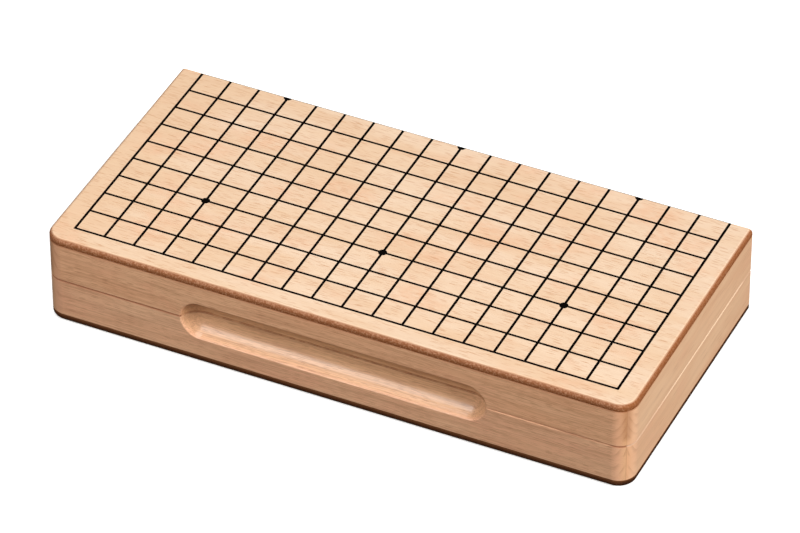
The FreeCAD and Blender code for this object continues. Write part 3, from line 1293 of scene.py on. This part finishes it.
@dataclass
class PlayingPanel(SubAssembly):
    """A veneered panel and the half of the grid that is printed on it.

    Attributes:
        squares_across: Squares along the fold.
        squares_along: Squares from the fold to the front.
        line_width: Width of a printed line.
        middle_line_width: This half's share of the line on the fold.
        star_inset: Lines from the board's edge to the outer marked crossings.
        stars_in_row: Marked crossings in one row.
        star_radius: Radius of a marked crossing.
        star_sides: Sides of the mesh of one.
        proud: How far the print stands out of the veneer.
    """

    squares_across: int = 18
    squares_along: int = 9
    line_width: float = 1.3
    middle_line_width: float = 0.25
    star_inset: int = 3
    stars_in_row: int = 3
    star_radius: float = 2.15
    star_sides: int = 48
    proud: float = 0.01

    def build_print(self, ink: bpy.types.Material) -> bpy.types.Object:
        """Builds the printed half grid.

        Args:
            ink: Its finish.

        Returns:
            The print, as one closed mesh.
        """
        low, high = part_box(self.node_name("grid_inlay"))
        bench = GeometryBench(self.half.prefix + "print_tree")
        across = bench.size("Squares Across", self.squares_across)
        along = bench.size("Squares Along", self.squares_along)
        line = bench.size("Line Width", self.line_width * MM)
        middle = bench.size("Middle Line Width", self.middle_line_width * MM)
        inset = bench.size("Star Inset", self.star_inset)
        star = bench.size("Star Radius", self.star_radius * MM)
        width = bench.size("Print Width", high.x - low.x)
        depth = bench.size("Print Depth", high.y - low.y)
        thickness = bench.size("Ink Thickness", high.z - low.z + self.proud * MM)
        fold = bench.size("Fold Place", high.y)
        level = bench.size("Ink Level", (low.z + high.z + self.half.value * self.proud * MM) / 2)

        pitch_x = (width - line) / across
        pitch_y = (depth - line / 2) / along
        first_x = (line - width) / 2
        first_y = fold - depth + line / 2
        columns = self.line_points(bench, across + 1, (pitch_x, 0.0), (first_x, fold - depth / 2, level))
        rows = self.line_points(bench, along, (0.0, pitch_y), (0.0, first_y, level))
        upright = bench.box((line, depth, thickness), (0.0, 0.0, 0.0))
        level_bar = bench.box((width, line, thickness), (0.0, 0.0, 0.0))
        edge_bar = bench.box((width, middle, thickness), (0.0, fold - middle / 2, level))

        disc = bench.wire("GeometryNodeMeshCylinder", {"fill_type": "NGON"}, {
            "Vertices": self.star_sides, "Radius": star, "Depth": thickness}, "Mesh")
        star_pitch = (along - inset) * pitch_x
        star_shapes = []
        for row in (inset, along):
            start = (0 - star_pitch, first_y + row * pitch_y, level)
            stars = self.line_points(bench, self.stars_in_row, (star_pitch, 0.0), start)
            star_shapes.append(bench.repeated(disc, stars))
        bars = [bench.repeated(upright, columns), bench.repeated(level_bar, rows), edge_bar]
        lattice = bench.united(bars + star_shapes)
        beyond = bench.box((width, star * 2, thickness * 2), (0.0, fold + star, level))
        name = self.half.prefix + "printed_grid"
        return bench.make(name, bench.cut(lattice, beyond), ink)

    @staticmethod
    def line_points(bench: GeometryBench, count: Value, step: tuple[Value, Value],
                    start: Point) -> Wire:
        """A row of points from a start on, with even steps in X and Y."""
        return bench.wire("GeometryNodeMeshLine", {"mode": "OFFSET"}, {
            "Count": count, "Start Location": bench.vector(start), "Offset": bench.vector(step)})

    def dress(self, face: Beech, backing: Beech, core: bpy.types.Material,
              ink: bpy.types.Material) -> None:
        """Finishes the panel's layers and builds its print.

        Args:
            face: The wood of the playing face.
            backing: The wood inside the tray.
            core: The finish of the fibreboard.
            ink: The finish of the print.
        """
        self.paint("face_veneer", face.make())
        self.paint("backing_veneer", BackingVeneer(backing).make())
        self.paint("panel_core", core)
        self.stand_in(self.build_print(ink), "grid_inlay", "grid_ink")


@dataclass
class RailFrame(SubAssembly):
    """The four mitred rails of a half, and its divider."""

    def dress(self, boards: dict[str, Beech]) -> None:
        """Finishes each rail and the divider in the wood given for its part's name."""
        for part, wood in boards.items():
            self.paint(part, wood.make())


@dataclass
class Fittings(SubAssembly):
    """The hinges, screws and magnets of a half.

    Attributes:
        head_radius: Radius of a screw's head.
        shank_radius: Radius of its shank.
        point_length: Length of its point.
        tip_share: Radius of the point's tip, as a share of the shank's.
        slot_width: Width of the slot.
        slot_depth: Depth of the slot.
        slot_reach: Length of the tool that cuts the slot, in radii of the head.
        sides: Sides of the mesh of a head or shank.
        seed: Fixes how far each screw was turned.
    """

    head_radius: float = 1.8
    shank_radius: float = 0.9
    point_length: float = 2.0
    tip_share: float = 0.2
    slot_width: float = 0.5
    slot_depth: float = 0.45
    slot_reach: float = 2.2
    sides: int = 40
    seed: int = 5

    def screw_places(self) -> list[Vector]:
        """Reads the screws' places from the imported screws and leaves.

        Returns:
            The middle of each screw's head, in metres.
        """
        low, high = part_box(self.node_name("hinge_screws"))
        radius = self.head_radius * MM
        head_z = low.z if self.half is Half.UPPER else high.z
        places = []
        for side in ("left", "right"):
            leaf_low, leaf_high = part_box(self.node_name(side + "_hinge_leaf"))
            middle = (leaf_low.x + leaf_high.x) / 2
            reach = high.x - radius - abs(middle)
            places.append(Vector((middle - reach, low.y + radius, head_z)))
            places.append(Vector((middle, high.y - radius, head_z)))
            places.append(Vector((middle + reach, low.y + radius, head_z)))
        return places

    def build_screws(self, brass: bpy.types.Material) -> bpy.types.Object:
        """Builds the six screws of this half, each turned by chance.

        Args:
            brass: Their finish.

        Returns:
            The screws, as one mesh.
        """
        low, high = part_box(self.node_name("hinge_screws"))
        bench = GeometryBench(self.half.prefix + "screw_tree")
        head = bench.size("Head Radius", self.head_radius * MM)
        shank = bench.size("Shank Radius", self.shank_radius * MM)
        length = bench.size("Screw Length", high.z - low.z)
        point = bench.size("Point Length", self.point_length * MM)
        slot_width = bench.size("Slot Width", self.slot_width * MM)
        slot_depth = bench.size("Slot Depth", self.slot_depth * MM)
        seed = bench.size("Turn Seed", self.seed)

        sink = head - shank
        cone = self.cone(bench, head, shank, sink)
        stem = bench.moved(self.cone(bench, shank, shank, length - sink - point), (0.0, 0.0, sink))
        tip = bench.moved(self.cone(bench, shank, shank * self.tip_share, point),
                          (0.0, 0.0, length - point))
        slot = bench.box((head * self.slot_reach, slot_width, slot_depth * 2), (0.0, 0.0, 0.0))
        screw = bench.cut(bench.united([cone, stem, tip]), slot)

        points = Wire(bench, bench.entry.outputs["Geometry"])
        spin = bench.wire("FunctionNodeRandomValue", {"data_type": "FLOAT"}, {
            "Max": math.pi, "Seed": seed}, 1)
        flip = 0.0 if self.half is Half.UPPER else math.pi
        turn = bench.vector((flip, 0.0, spin))
        name = self.half.prefix + "hinge_screw_set"
        return bench.make(name, bench.repeated(screw, points, turn), brass, self.screw_places())

    def cone(self, bench: GeometryBench, start: Value, end: Value, length: Value) -> Wire:
        """A cone or cylinder that stands on the origin, with its first and last radius."""
        return bench.wire("GeometryNodeMeshCone", {"fill_type": "NGON"}, {
            "Vertices": self.sides, "Radius Bottom": start, "Radius Top": end, "Depth": length}, "Mesh")

    def dress(self, brass: bpy.types.Material, screw_brass: bpy.types.Material,
              nickel: bpy.types.Material) -> None:
        """Finishes the leaves and magnets and builds the screws.

        Args:
            brass: The finish of the leaves and pins.
            screw_brass: The finish of the screws.
            nickel: The finish of the magnets.
        """
        for side in ("left", "right"):
            self.paint(side + "_hinge_leaf", brass)
            self.paint(side + "_magnet", nickel)
            if self.half is Half.LOWER:
                self.paint(side + "_hinge_pin", brass, shared=True)
        self.stand_in(self.build_screws(screw_brass), "hinge_screws", "screw_brass")


# --- Studio ---


@dataclass(frozen=True)
class Softbox:
    """A square soft light that looks at the case.

    Attributes:
        name: Its name.
        azimuth: Where it stands, in degrees: 0 in front of the case, 90 on its right.
        elevation: Its height above the table, in degrees.
        distance: From the case to the light, in metres.
        side: Length of its side, in metres.
        power: In watts.
        mirrored: Whether glossy surfaces show it, which dazzles where it grazes a flat top.
    """

    name: str
    azimuth: float
    elevation: float
    distance: float
    side: float
    power: float
    mirrored: bool = True

    def build(self, target: Vector) -> None:
        """Sets the light up.

        Args:
            target: The point that it is aimed at.
        """
        light = bpy.data.lights.new(self.name, "AREA")
        light.shape = "SQUARE"
        light.size = self.side
        light.energy = self.power
        lamp = bpy.data.objects.new(self.name, light)
        place = target + direction(self.azimuth, self.elevation) * self.distance
        lamp.location = place
        lamp.rotation_euler = (target - place).to_track_quat("-Z", "Y").to_euler()
        lamp.visible_camera = False
        lamp.visible_glossy = self.mirrored
        bpy.context.scene.collection.objects.link(lamp)


def direction(azimuth: float, elevation: float) -> Vector:
    """The way to a place round the case, in degrees: 0, 0 lies in front and 90, 0 on its right."""
    turn, rise = math.radians(azimuth), math.radians(elevation)
    return Vector((math.sin(turn) * math.cos(rise), -math.cos(turn) * math.cos(rise), math.sin(rise)))


@dataclass
class Studio:
    """The camera, the lights and the paper.

    Attributes:
        azimuth: Where the camera stands, in degrees.
        elevation: The camera's height above the table, in degrees.
        distance: From the camera to what it looks at, in metres.
        target: What it looks at, in metres.
        roll: How far the camera is turned about its view, in degrees.
        lens: Focal length in millimetres.
        sensor: Width of the sensor in millimetres.
        clip: The nearest and the farthest that the camera sees, in metres.
        sky_low: Strength of the light from below the horizon.
        sky_high: Strength of the light from straight above.
        low_tint: Colour of the light from below the horizon.
        horizon: How the light changes with the height of its direction.
        boxes: The soft lights.
        paper_size: Length of the paper's side, in metres.
        paper_drop: How far the paper lies below the case's foot, so that the print clears it.
    """

    azimuth: float = 25.171
    elevation: float = 38.842
    distance: float = 2.606
    target: Vector = field(default_factory=lambda: Vector((-0.00102, 0.00459, 0.02455)))
    roll: float = -0.1
    lens: float = 248.4
    sensor: float = 36.0
    clip: tuple[float, float] = (0.05, 200.0)
    sky_low: float = 0.145
    sky_high: float = 0.36
    low_tint: Colour = (1.0, 0.86, 0.70)
    horizon: Fade = Fade(-0.1, 1.0)
    boxes: tuple[Softbox, ...] = (
        Softbox("front_box", azimuth=-25.0, elevation=39.5, distance=1.3, side=0.62, power=6.0),
        Softbox("top_box", azimuth=-20.0, elevation=76.0, distance=2.2, side=0.9, power=13.0),
        Softbox("right_box", azimuth=80.0, elevation=32.0, distance=4.0, side=1.7, power=168.0,
                mirrored=False),
    )
    paper_size: float = 30.0
    paper_drop: float = 0.0002

    def build_camera(self) -> None:
        """Sets the camera up."""
        data = bpy.data.cameras.new("camera")
        data.sensor_width = self.sensor
        data.lens = self.lens
        data.clip_start, data.clip_end = self.clip
        camera = bpy.data.objects.new("camera", data)
        away = direction(self.azimuth, self.elevation)
        aim = (-away).to_track_quat("-Z", "Y").to_matrix().to_4x4()
        turn = Matrix.Rotation(math.radians(self.roll), 4, "Z")
        camera.matrix_world = Matrix.Translation(self.target + away * self.distance) @ aim @ turn
        bpy.context.scene.collection.objects.link(camera)
        bpy.context.scene.camera = camera

    def build_paper(self) -> None:
        """Lays the paper that the case stands on, which throws no light back up at the case."""
        half = self.paper_size / 2
        mesh = bpy.data.meshes.new("paper")
        corners = [(-half, -half), (half, -half), (half, half), (-half, half)]
        mesh.from_pydata([(x, y, -self.paper_drop) for x, y in corners], [], [(0, 1, 2, 3)])
        mesh.materials.append(StudioPaper().make())
        paper = bpy.data.objects.new("paper", mesh)
        paper.visible_diffuse = False
        paper.visible_glossy = False
        bpy.context.scene.collection.objects.link(paper)

    def build_world(self) -> None:
        """Fills the room with white light that grows towards the ceiling."""
        world = bpy.data.worlds.new("room")
        world.use_nodes = True
        bench = ShaderBench.on(world.node_tree)
        heading = bench.wire("ShaderNodeTexCoord", output="Object")
        height = bench.wire("ShaderNodeSeparateXYZ", inputs={0: heading}, output="Z")
        rise = self.horizon.of(height)
        strength = self.sky_low + rise * (self.sky_high - self.sky_low)
        glow = bench.wire("ShaderNodeBackground", inputs={
            "Color": bench.mix(rise, self.low_tint, WHITE), "Strength": strength})
        bench.node("ShaderNodeOutputWorld", inputs={"Surface": glow})
        scene = bpy.context.scene
        scene.world = world
        scene.view_settings.view_transform = "Standard"

    def build(self) -> None:
        """Sets up the whole studio."""
        self.build_camera()
        self.build_world()
        self.build_paper()
        for box in self.boxes:
            box.build(Vector((0.0, 0.0, self.target.z)))
        LOG.info("studio: camera, paper and %d soft lights", len(self.boxes))


# --- The case ---

VENEER_TONES = WoodTones(
    pale=(0.805, 0.605, 0.435), warm=(0.76, 0.525, 0.34), blush=(0.77, 0.465, 0.29),
    heart=(0.76, 0.47, 0.28), dark=(0.52, 0.24, 0.105),
)
RAIL_TONES = WoodTones(
    pale=(0.88, 0.515, 0.30), warm=(0.83, 0.445, 0.25), blush=(0.86, 0.435, 0.255),
    heart=(0.80, 0.455, 0.218), dark=(0.35, 0.125, 0.05),
)
SIDE_TONES = WoodTones(
    pale=(0.88, 0.565, 0.345), warm=(0.82, 0.48, 0.28), blush=(0.86, 0.48, 0.29),
    heart=(0.82, 0.43, 0.22), dark=(0.38, 0.17, 0.085),
)


@dataclass(frozen=True)
class Timber:
    """Cuts the boards of one half, each from its own stretch of the log.

    Attributes:
        half: The half.
        form: The case's form.
        sheet_run: How far along the log from its middle the half's sheets are cut.
        board_run: How far apart along the log the halves' solid boards are cut.
        board_step: From one solid board of the half to the next, in the log.
        lower_rail_light: How much paler the lower half's long rails are painted, a painted light from
            below.
    """

    half: Half
    form: CaseForm
    sheet_run: float = 300.0
    board_run: float = 400.0
    board_step: tuple[float, float, float] = (37.0, 23.0, 11.0)
    lower_rail_light: float = 0.025

    def sheet(self, part: str, place: tuple[float, float, float], sheen: float = 0.5) -> Beech:
        """A sheet of veneer with its fibres along the fold.

        Args:
            part: What the sheet is.
            place: Where it is cut, from the half's stretch of the log.
            sheen: How much light the wood under the lacquer throws back.

        Returns:
            The sheet's wood.
        """
        run, across, through = place
        return Beech(
            name=self.half.prefix + part + "_beech", cut=Cut.SHEET, tones=VENEER_TONES,
            flecks=Flecks(length=6.0, width=0.36, per_area=0.16, strength=0.8),
            rings=Rings(spacing=16.0, lean=4.0, strength=0.06, phase=0.3 * self.half.value),
            form=self.form, shift=(run + self.sheet_run * self.half.value, across, through),
            fibre_strength=0.08, warm_left=0.27, sheen=sheen,
        )

    def board(self, part: str, cut: Cut, shift: tuple[float, float, float]) -> Beech:
        """A solid board.

        Args:
            part: What the board is.
            cut: How it lies in the case.
            shift: Where in the log it is cut.

        Returns:
            The board's wood.
        """
        name = self.half.prefix + part + "_beech"
        rings = Rings(spacing=1.7, lean=76.0, strength=0.15, phase=0.25 * self.half.value)
        if cut is Cut.SIDE_RAIL:
            return Beech(
                name=name, cut=cut, tones=SIDE_TONES,
                flecks=Flecks(length=9.0, width=0.5, per_area=0.03, strength=0.35),
                rings=replace(rings, strength=0.06), form=self.form, shift=shift,
                fibre_strength=0.08, streak_strength=0.06,
            )
        return Beech(
            name=name, cut=cut,
            # painted light: the lower half's long rails are paler, standing in for light from below
            tones=RAIL_TONES if self.half is Half.UPPER else RAIL_TONES.whitened(self.lower_rail_light),
            flecks=Flecks(length=5.0, width=0.25, per_area=0.40, strength=0.6),
            rings=rings, form=self.form, shift=shift, fibre_strength=0.29, streak_strength=0.04,
        )

    def boards(self) -> dict[str, Beech]:
        """Cuts the wood for one half's frame.

        Returns:
            The wood of each rail and of the divider, by part name.
        """
        cuts = {
            "front_rail": Cut.LONG_RAIL, "back_rail": Cut.LONG_RAIL,
            "left_rail": Cut.SIDE_RAIL, "right_rail": Cut.SIDE_RAIL, "divider": Cut.SIDE_RAIL,
        }
        start = self.board_run * (2 + self.half.value)
        boards = {}
        for number, (part, cut) in enumerate(cuts.items()):
            run, across, through = (step * number for step in self.board_step)
            boards[part] = self.board(part, cut, (start + run, across, through))
        return boards


def main() -> None:
    """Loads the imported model, dresses every piece of both halves, and sets up the studio."""
    logging.basicConfig(level=logging.INFO, format="%(name)s: %(message)s")
    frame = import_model()
    form = CaseForm.from_frame(CORNER_RADIUS)
    cores = {
        Half.UPPER: Fibreboard("upper_fibreboard", form),
        # painted shade: the lower panel's fibreboard is a near-black copy, darkest next to the face
        # veneer, for the shade on its downward edge
        Half.LOWER: Fibreboard("lower_fibreboard_shaded", form, outer=(0.012, 0.005, 0.003),
                               middle=(0.05, 0.019, 0.009), inner=(0.12, 0.042, 0.017),
                               speck=(0.09, 0.035, 0.015), side_shade_colour=(0.012, 0.006, 0.004), sheen=0.0),
    }
    ink = PrintInk().make()
    brass = Metal(
        "hinge_brass_satin", bright=(0.86, 0.62, 0.27), dull=(0.50, 0.31, 0.12),
        roughness=0.24, tarnish=0.45, line_width=0.12).make()
    screw_brass = Metal(
        "screw_brass_satin", bright=(0.84, 0.60, 0.27), dull=(0.46, 0.29, 0.12),
        roughness=0.30, tarnish=0.5, line_width=0.2).make()
    nickel = Metal(
        "magnet_nickel", bright=(0.80, 0.79, 0.77), dull=(0.52, 0.51, 0.50),
        roughness=0.16, tarnish=0.3, line_width=0.3).make()

    Studio().build()
    for half in Half:
        timber = Timber(half, form)
        panel = PlayingPanel(frame["nodes"], half)
        panel.dress(
            face=timber.sheet("face", place=(0.0, 140.0, 0.0)),
            backing=timber.sheet("tray", place=(90.0, 20.0, 60.0), sheen=0.2),
            core=cores[half].make(),
            ink=ink,
        )
        RailFrame(frame["nodes"], half).dress(timber.boards())
        Fittings(frame["nodes"], half).dress(brass, screw_brass, nickel)


if __name__ == "__main__":
    main()
